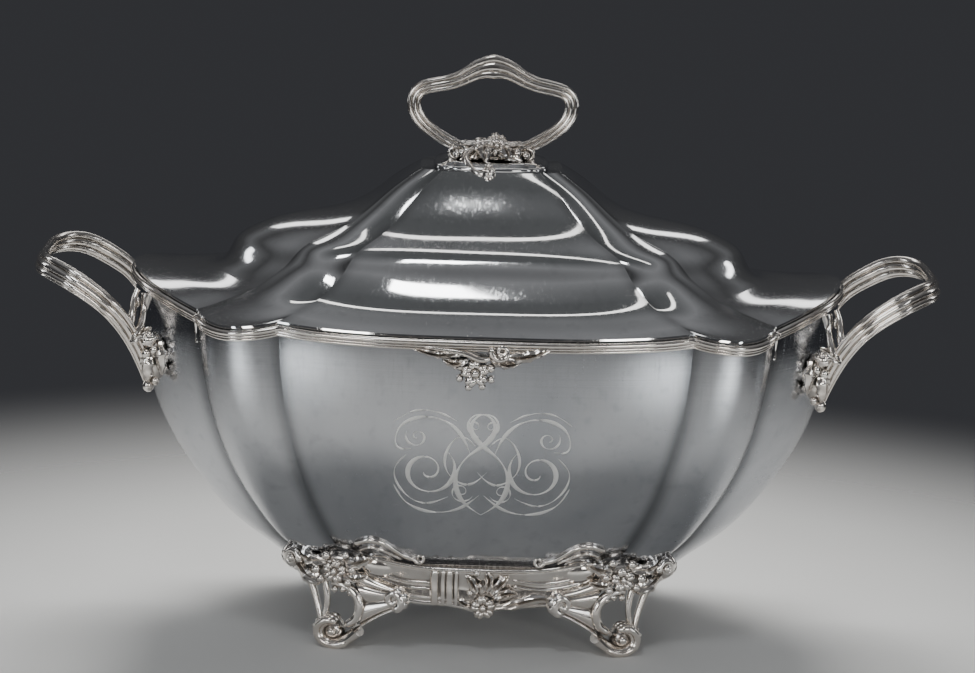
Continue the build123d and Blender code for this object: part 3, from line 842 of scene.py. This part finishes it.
def make_apron():
    bm = bmesh.new()
    face = (0, -1, 0)
    y = -APRON_Y
    half = 47

    def low_edge(x):
        return 20.2 + 4.6 * (abs(x) / half) ** 3 - 2.4 * math.exp(-(x - 2) ** 2 / 60)

    def top_edge(x):
        return 37.2 + 4.0 * max(0.0, (abs(x) - 16) / 31) ** 1.6

    # ogee face from the lower lip up to the bowl, then down the back
    profile = [(0, 0.6), (0.04, -1.9), (0.14, -2.3), (0.26, -1.7), (0.42, -0.9), (0.58, -0.8), (0.72, -1.3),
               (0.84, -2.0), (0.94, -2.2), (1.0, -1.6), (1.0, 2.0), (0.5, 1.4)]

    def panel(i, j):
        x = half * (2 * i / 72 - 1)
        share, out = profile[j % len(profile)]
        bow = 1.4 * (1 - (x / half) ** 2)
        return Vector((x, y + out - bow + 1.0, low_edge(x) + share * (top_edge(x) - low_edge(x))))

    bent_grid(bm, 72, len(profile), panel)

    def on(x, share, out):
        bow = 1.4 * (1 - (x / half) ** 2)
        return Vector((x, y - bow + 1.0 - out, low_edge(x) + share * (top_edge(x) - low_edge(x))))

    for share, out, r in ((0.04, 1.5, 1.15), (0.17, 2.0, 0.85), (0.95, 1.7, 0.95)):
        moulding = [on(x, share, out) for x in (-46, -33, -21, -10, 0, 10, 21, 33, 46)]
        rod(bm, moulding, r, steps=70, up=face, tip=0.02)
    for x0, x1, share, r in (
        (-45, -20, 0.42, 0.8), (-45, -20, 0.58, 0.7), (14, 45, 0.46, 0.8), (14, 45, 0.62, 0.7),
    ):
        thread = [on(x0, share + 0.1, 1.0), on((x0 + x1) / 2, share - 0.04, 1.2), on(x1, share, 1.2)]
        rod(bm, thread, r, up=face, tip=0.1)
    for x, r in ((-18.6, 1.9), (-15.0, 1.2), (-12.2, 1.7), (-9.4, 1.1)):
        band = [on(x, 0.0, 1.6), on(x * 1.01, 0.3, 2.0), on(x * 1.02, 0.62, 1.8), on(x, 0.97, 2.0)]
        rod(bm, band, r, up=face, tip=0.1)
    # the flower hangs a little below the lip, with leaves over it and to both sides
    flower(bm, on(2.2, 0.14, 3.2), 5.4, (0, -1, -0.05), petals=5)
    blob(bm, on(2.2, 0.16, 1.6), (5.2, 2.6, 4.6), detail=16)
    for points, width in (
        ([(0, 0.4, 2.4), (-2.4, 0.66, 3.2), (-5.6, 0.86, 2.2)], 2.6),
        ([(3, 0.45, 2.6), (4.6, 0.74, 3.4), (3.2, 0.98, 2.4)], 2.6),
        ([(5, 0.4, 2.6), (9.4, 0.66, 3.2), (13.0, 0.86, 2.2)], 2.8),
        ([(6, 0.3, 2.6), (11.5, 0.42, 3.0), (17.0, 0.36, 2.0)], 2.4),
        ([(6, 0.10, 2.4), (14, 0.10, 3.0), (23, 0.22, 3.0), (34, 0.16, 2.0)], 3.2),
        ([(-2, 0.12, 2.4), (-5, 0.14, 2.8), (-9, 0.22, 2.0)], 2.2),
    ):
        leaf(bm, [on(*point) for point in points], width, face, thick=1.5, scallops=3)
    for x, share in ((-3.4, 0.42), (8.4, 0.30), (0.6, 0.62), (6.8, 0.56), (9.6, 0.80), (-0.8, 0.90)):
        blob(bm, on(x, share, 2.6), (1.35, 1.2, 1.35), detail=10)
    for sign in (-1, 1):
        blob(bm, (sign * 42.5, -56.0, 36.0), (8.0, 3.4, 6.2), (0, sign * -12, 0), detail=28)
        bends = (24, 39.5), (32, 42.0), (39, 47.0), (47, 49.5), (54, 46.5)
        arch = [panel_spot(sign * x, z, 0.5) for x, z in bends]
        rod(bm, arch, lambda v: 1.0 + 0.5 * v, up=face, tip=0.1, steps=36)
        inner = [panel_spot(sign * x, z, 0.4) for x, z in ((33, 39.8), (39, 43.2), (46, 45.6), (52, 43.0))]
        rod(bm, inner, 0.8, up=face, tip=0.1)
        curl_at = panel_spot(sign * 25.5, 41.2, 0.7)
        curl = spiral(curl_at, 2.4, 0.7, 90 - sign * 90, -sign * 1.1, (1, 0, 0), (0, 0, 1), 14)
        rod(bm, curl, lambda v: 1.0 - 0.4 * v, up=face, tip=0.1, steps=30)
    shelf = Matrix.Translation((0, -53.6, 37.4)) @ Matrix.Diagonal((84, 7.5, 1.2, 1))
    bmesh.ops.create_cube(bm, size=1, matrix=shelf)
    return bm


finish_piece("base_apron_front", make_apron(), BOWL, cast, "cast_silver", "base_apron_front")
finish_piece("base_apron_back", mirrored(make_apron(), 1), BOWL, cast, "cast_silver", "base_apron_back")


def make_base_band(index):
    """Low reeded band under an end of the bowl."""
    level = row(0.556, 26.2)
    reeds = arc(0.2, -1.0, 1.0, 80, -60, 6) + arc(0.4, -2.7, 0.9, 60, -80, 6)
    face = [(-2.5, 0), (0.2, 0.0)] + reeds + [(-2.5, -3.8)]
    spots = [2 * k / 60 - 1 for k in range(61)]

    def place(i, j):
        out, drop = face[j % len(face)]
        s = spots[i]
        return lobe_spot(index, s, level) + plan_normal(index, s, level) * out + Vector((0, 0, drop))

    bm = bmesh.new()
    bent_grid(bm, 60, len(face), place)
    name = "base_band_" + LOBE_NAMES[index]
    finish_piece(name, bm, BOWL, cast, "cast_silver", name)


make_base_band(2)
make_base_band(6)

FOOT_X, FOOT_Y, FOOT_TURN = 60, 54, 16


def make_foot():
    """Openwork scroll foot, built facing -Y at the origin and then set under its corner."""
    bm = bmesh.new()
    face = (0, -1, 0)
    # the fluted web fans out from the rolled inner end to the opening and the toe
    fan_end = curve_through([(-3.5, 0, 2.6), (-8.6, 0, 8.4), (-11.8, 0, 14.5), (-12.0, 0, 21.0),
                             (-9.4, 0, 27.0), (-5.5, 0, 31.5), (-3.0, 0, 38.0)])
    fan_start = curve_through([(-27.0, 0, 18.6), (-28.2, 0, 21.0), (-28.2, 0, 24.5), (-25.6, 0, 28.2)])
    reeds, columns = 4, 48

    def fan(i, j):
        t = j / 18
        front = i % (2 * columns) < columns
        k = i % (2 * columns)
        share = k / columns if front else 2 - k / columns
        point = Vector(fan_start(share)).lerp(Vector(fan_end(share)), t)
        sag = 1.4 * math.sin(math.pi * t) * (1 - 2 * share)
        ridge = abs(math.sin(reeds * math.pi * share)) ** 0.75
        point.z += sag
        point.y = -1.7 - (0.9 + 0.7 * t) * ridge if front else 1.6
        return point

    bent_grid(bm, 2 * columns, 18, fan)
    rod(bm, spiral((-25.2, -2.4, 23.2), 4.2, 0.8, -100, -1.3, (1, 0, 0), (0, 0, 1), 24),
        lambda v: 2.2 - 1.0 * v, steps=60, up=face, tip=0.06)
    knuckles(bm, [(-26.6, -0.4, 19.6), (-29.2, -0.4, 21.6), (-29.4, -0.4, 24.6), (-27.0, -0.4, 27.0)],
             (2.7, 2.7, 2.6, 2.3), 3.4)
    blob(bm, (-26, 0, 23.4), (4.0, 2.6, 4.0), detail=16)
    # rim of the opening, its three beads, and the two slim outer legs
    ring = [(3.2, -1.6, 28.0), (-2.0, -2.2, 27.6), (-8.0, -2.8, 24.6), (-10.4, -3.2, 19.0),
            (-8.8, -3.4, 13.2), (-4.0, -3.6, 9.8)]
    rod(bm, ring, lambda v: 1.7 + 0.4 * math.sin(math.pi * v), steps=40, up=face, tip=0.06)
    for x, z in ((-6.2, 24.6), (-2.8, 25.8), (0.8, 25.4)):
        blob(bm, (x, -3.4, z), (1.5, 1.4, 1.5))
    inner_leg = [(6.4, -0.6, 29), (4.6, -1.6, 22), (4.8, -2.0, 15.5), (6.6, -2.4, 10.0)]
    rod(bm, inner_leg, lambda v: 1.5 - 0.4 * v, up=face, tip=0.06)
    outer_leg = [(15.0, 1.5, 29.5), (11.4, 0.6, 22), (8.8, -0.8, 15.0), (7.0, -2.0, 8.5)]
    rod(bm, outer_leg, lambda v: 1.7 - 0.5 * v, up=face, tip=0.06)
    # the toe: the web's lower arm rolls up into a broad volute with ribs over it
    coil = [(-9.5, -1.4, 7.6), (-5.2, -1.8, 3.9), (0.2, -2.0, 2.5), (4.6, -2.0, 4.2), (5.6, -2.0, 8.0),
            (2.6, -2.0, 10.6), (-1.0, -2.0, 9.2), (-1.2, -2.0, 6.6), (1.2, -2.0, 5.9), (2.2, -2.0, 7.2)]
    coil_path = curve_through(coil)
    sweep(bm, coil_path, ROUND, lambda v: (2.9 - 1.5 * v, 6.2 - 1.4 * v), face, 90,
          twist=lambda v: math.radians(90))
    for dy, r in ((-4.6, 1.7), (-1.2, 1.9), (2.4, 1.8)):
        y, end_y = -2 + dy, -2 + dy * 0.8
        rib = [(-7.2, end_y, 4.4), (-2.6, y, 1.7), (2.0, y, 1.5), (6.4, y, 4.0), (7.4, y, 8.4),
               (3.6, y, 12.0), (-1.4, end_y, 11.4)]
        rod(bm, rib, r, up=face, tip=0.12, steps=48)
    blob(bm, (0.9, -2.0, 7.2), (4.6, 5.4, 4.4), detail=20)
    blob(bm, (0.8, -7.6, 7.4), (1.9, 1.4, 1.9), detail=14)
    for x, z in ((8.4, 9.8), (9.6, 7.4)):
        blob(bm, (x, -2.2, z), (1.4, 1.4, 1.6))
    bmesh.ops.create_cone(bm, cap_ends=True, segments=20, radius1=4.4, radius2=5.2, depth=1.6,
                          matrix=Matrix.Translation((0, -2, 0.8)))
    # foliage where the foot spreads on the bowl
    flower(bm, (1.0, -3.4, 33.5), 5.4, (0, -1, 0.1), petals=5)
    leaf(bm, [(3, -2.2, 31), (11, -3.2, 29.5), (17, 0.4, 33.0), (25, 4.4, 42.5)], 4.2, (0.2, -1, 0.1),
         thick=2.0, scallops=5)
    leaf(bm, [(4, -2.6, 37), (12, -2.6, 37.5), (21, 1.4, 42.5)], 3.6, (0.2, -1, 0.1), thick=1.8)
    leaf(bm, [(-3, -2.8, 37), (-9, -3.6, 38.5), (-16, -3.2, 41)], 3.4, face, thick=1.7)
    leaf(bm, [(-2, -2.8, 33), (-8, -3.8, 31.4), (-14, -3.0, 32.8)], 2.6, face, thick=1.5)
    for x, z, r in (
        (-5.0, 28.8, 1.9), (7.2, 29.6, 1.9), (9.4, 33.6, 2.1),
        (-6.6, 34.8, 1.9), (5.0, 40.0, 2.0), (-3.8, 41.0, 1.8),
    ):
        blob(bm, (x, -3.6, z), (r, r * 0.9, r))
    blob(bm, (3, 3.6, 36), (12, 6.8, 5.6), detail=20)
    # the outer curl at the tip of the wing
    wing_curl = spiral((21.5, -0.6, 36.5), 4.2, 0.9, 200, -1.2, (0.95, 0.3, 0), (0, 0, 1), 22)
    rod(bm, wing_curl, lambda v: 1.8 - 0.8 * v, steps=50, up=face, tip=0.08)
    blob(bm, (22.0, 2.0, 37.0), (4.6, 3.4, 5.4), (0, 20, 0), detail=16)
    blob(bm, (21.6, -1.4, 36.6), (1.8, 1.6, 1.8))
    place = Matrix.Translation((FOOT_X, -FOOT_Y, 0)) @ Matrix.Rotation(math.radians(FOOT_TURN), 4, "Z")
    bmesh.ops.transform(bm, matrix=place, verts=bm.verts)
    for vert in bm.verts:
        vert.co.z = max(vert.co.z, 0.0)
    return bm


quarter_pieces("foot", make_foot, BOWL, cast, "cast_silver")


# ---- engraved flourish on the front panel ----------------------------------------------

FLOURISH_Z = 88


def make_flourish():
    """A mirror-symmetric scroll device, thin bright-cut strokes on the sheet."""
    bm = bmesh.new()

    def stroke(points, width, tip=0.2):
        curve = curve_through([(x, 0, z) for x, z in points])
        count = max(30, 8 * len(points))

        def path(v):
            x, _, z = curve(v)
            return panel_spot(x, FLOURISH_Z + z, 0.05)

        def size(v):
            fade = min(1.0, v / tip, (1 - v) / tip)
            swell = width * (0.25 + 0.75 * math.sin(2.5 * math.pi * v) ** 2) * math.sqrt(max(0.02, fade))
            return swell, 0.10

        sweep(bm, path, arc(0, 0, 1, 0, 315, 8), size, (1, 0, 0.001), count)

    def volute(cx, cz, r, start, turns):
        points = []
        for k in range(28):
            t = k / 27
            a = math.radians(start) + turns * 2 * math.pi * t
            left = r * (1 - 0.86 * t)
            points.append((cx + left * math.cos(a), cz + left * math.sin(a)))
        return points

    for side in (-1, 1):
        strokes = [
            ([(0, -23.5), (7, -18), (11, -7), (7, 3), (-2, 11), (-5, 18), (-1, 23), (5, 21.5), (6, 16),
              (2, 13)], 1.15),
            ([(5, 5), (10, 15), (19, 21), (29, 20.5), (36, 14), (35.5, 7.5), (30, 7)], 0.85),
            ([(1, -14), (10, -21), (22, -22.5), (32, -18), (37, -10)], 0.75),
            ([(-2, -3), (6, -9), (14, -4), (15, 6), (9, 13), (3, 9)], 0.6),
            ([(11, 20), (20, 24), (30, 23.5), (37, 19)], 0.45),
            ([(14, -15), (24, -18.5), (34, -12), (36.5, -2), (32, 4)], 0.5),
        ]
        for cx, cz, r, start, turns, width in (
            (23, -3, 12.5, 130, 1.55, 1.05),
            (27.5, 12.5, 5.0, 30, -1.3, 0.5),
            (8.5, -12.5, 5.2, 200, 1.3, 0.5),
            (3.5, 17.5, 3.4, 270, 1.2, 0.4),
        ):
            strokes.append((volute(cx, cz, r, start, turns), width))
        for points, width in strokes:
            stroke([(side * x, z) for x, z in points], width)
    finish_piece("engraved_flourish", bm, BOWL, engraved, "bowl_satin_silver")


make_flourish()


# ---- hidden pieces keep their CAD shape ---------------------------------------------------

for name, material in (("lid_bezel", inside), ("finial_stud", fastener), ("finial_washer", fastener),
                       ("finial_nut", fastener)):
    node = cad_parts[name]
    node.data.materials.clear()
    node.data.materials.append(material)


# ---- floor, light and camera ----------------------------------------------------------------

def make_floor():
    bm = bmesh.new()
    bmesh.ops.create_circle(bm, cap_ends=True, segments=96, radius=3.0)
    mesh = bpy.data.meshes.new("floor")
    bm.to_mesh(mesh)
    bm.free()
    floor = bpy.data.objects.new("floor", mesh)
    bpy.context.scene.collection.objects.link(floor)
    paint = bpy.data.materials.new("pale_floor")
    paint.use_nodes = True
    nodes, links = paint.node_tree.nodes, paint.node_tree.links
    shader = nodes["Principled BSDF"]
    shader.inputs["Base Color"].default_value = (0.60, 0.60, 0.59, 1)
    shader.inputs["Roughness"].default_value = 0.7
    # the floor runs out into the dark room some way off
    shift = nodes.new("ShaderNodeVectorMath")
    shift.operation = "SUBTRACT"
    shift.inputs[1].default_value = (0, -0.16, 0)
    links.new(nodes.new("ShaderNodeTexCoord").outputs["Object"], shift.inputs[0])
    length = nodes.new("ShaderNodeVectorMath")
    length.operation = "LENGTH"
    links.new(shift.outputs[0], length.inputs[0])
    fade = nodes.new("ShaderNodeMapRange")
    fade.interpolation_type = "SMOOTHSTEP"
    for key, number in (("From Min", 0.18), ("From Max", 0.62), ("To Min", 0.0), ("To Max", 1.0)):
        fade.inputs[key].default_value = number
    links.new(length.outputs["Value"], fade.inputs["Value"])
    clear = nodes.new("ShaderNodeBsdfTransparent")
    blend = nodes.new("ShaderNodeMixShader")
    links.new(fade.outputs["Result"], blend.inputs[0])
    links.new(shader.outputs[0], blend.inputs[1])
    links.new(clear.outputs[0], blend.inputs[2])
    links.new(blend.outputs[0], nodes["Material Output"].inputs["Surface"])
    mesh.materials.append(paint)


def make_light(name, place, target, size, power, colour=(1, 1, 1), mirrored_in_silver=True, spread=180):
    """A soft panel of light at place that faces target; spread is its cone in degrees."""
    data = bpy.data.lights.new(name, "AREA")
    data.shape = "RECTANGLE"
    data.size, data.size_y = size
    data.energy = power
    data.color = colour
    light = bpy.data.objects.new(name, data)
    bpy.context.scene.collection.objects.link(light)
    light.location = place
    light.rotation_euler = (Vector(target) - Vector(place)).to_track_quat("-Z", "Y").to_euler()
    light.visible_glossy = mirrored_in_silver
    data.spread = math.radians(spread)


make_floor()
AIM = (0, 0, 0.13)
COOL = (0.93, 0.97, 1.0)
make_light("floor_pool", (0.0, 0.45, 0.9), (0.0, 0.14, 0), (0.5, 0.3), 4.6, (1, 0.99, 0.97), False, 100)
# Pools on the floor beside the object give the creases their bright edges.
for side, word in ((-1, "left"), (1, "right")):
    make_light("pool_" + word, (side * 0.34, -0.44, 0.8), (side * 0.30, -0.34, 0), (0.10, 0.10), 0.62,
               COOL, False, 22)
    make_light("pool_far_" + word, (side * 0.62, 0.10, 0.8), (side * 0.50, 0.16, 0), (0.10, 0.10), 0.4,
               COOL, False, 22)
make_light("front_left", (-0.48, -1.30, 0.36), (0, 0, 0.07), (0.34, 0.24), 2.6, (1, 0.98, 0.95))
make_light("front_right", (0.48, -1.30, 0.36), (0, 0, 0.07), (0.34, 0.24), 2.6, (1, 0.98, 0.95))
make_light("soft_key", (-0.16, -0.62, 1.25), AIM, (0.30, 0.20), 2.2, (0.96, 0.98, 1.0))
make_light("soft_over", (0.1, 0.20, 1.25), AIM, (1.1, 0.10), 0.9, (1, 0.99, 0.97))
make_light("soft_left", (-1.00, -1.05, 0.42), AIM, (0.16, 0.8), 2.4, (0.90, 0.95, 1.0))
make_light("soft_right", (1.05, -0.95, 0.42), AIM, (0.14, 0.8), 2.2, (0.92, 0.96, 1.0))
make_light("edge_left", (-1.25, 0.55, 0.45), AIM, (0.14, 0.8), 1.6, (0.94, 0.97, 1.0))
make_light("edge_right", (1.25, 0.60, 0.45), AIM, (0.14, 0.8), 1.6, (0.96, 0.98, 1.0))
make_light("soft_back", (0.0, 1.2, 0.9), AIM, (1.1, 0.16), 1.6)

# A dark room that grows lighter overhead.
world = bpy.data.worlds.new("studio")
bpy.context.scene.world = world
world.use_nodes = True
room = world.node_tree
direction = room.nodes.new("ShaderNodeTexCoord").outputs["Generated"]
split = room.nodes.new("ShaderNodeSeparateXYZ")
room.links.new(direction, split.inputs["Vector"])
ramp = room.nodes.new("ShaderNodeValToRGB")
room.links.new(split.outputs["Z"], ramp.inputs["Fac"])
stops = ramp.color_ramp.elements
stops[0].position, stops[0].color = 0.0, (0.035, 0.036, 0.040, 1)
stops[1].position, stops[1].color = 0.96, (0.10, 0.105, 0.11, 1)
for height, shade in ((0.35, 0.062), (0.50, 0.15), (0.62, 0.065), (0.80, 0.24)):
    stops.new(height).color = (shade * 0.98, shade, shade * 1.05, 1)
room.links.new(ramp.outputs["Color"], room.nodes["Background"].inputs["Color"])

# The camera looks slightly down at the front panel, and is rolled a little.
VIEW_POINT = Vector((0, 0, 0.126))
VIEW_DISTANCE = 1.4
VIEW_ELEVATION = math.radians(12.5)
VIEW_ROLL = math.radians(1.75)
camera = bpy.data.objects.new("camera", bpy.data.cameras.new("camera"))
bpy.context.scene.collection.objects.link(camera)
back = Vector((0, -math.cos(VIEW_ELEVATION), math.sin(VIEW_ELEVATION)))
camera.location = VIEW_POINT + back * VIEW_DISTANCE
aim = (-back).to_track_quat("-Z", "Y").to_matrix().to_4x4() @ Matrix.Rotation(VIEW_ROLL, 4, "Z")
camera.rotation_mode = "QUATERNION"
camera.rotation_quaternion = aim.to_quaternion()
camera.data.sensor_width = 36
camera.data.lens = 117.3
camera.data.shift_x = 0.0015
camera.data.clip_start, camera.data.clip_end = 0.05, 50
bpy.context.scene.camera = camera
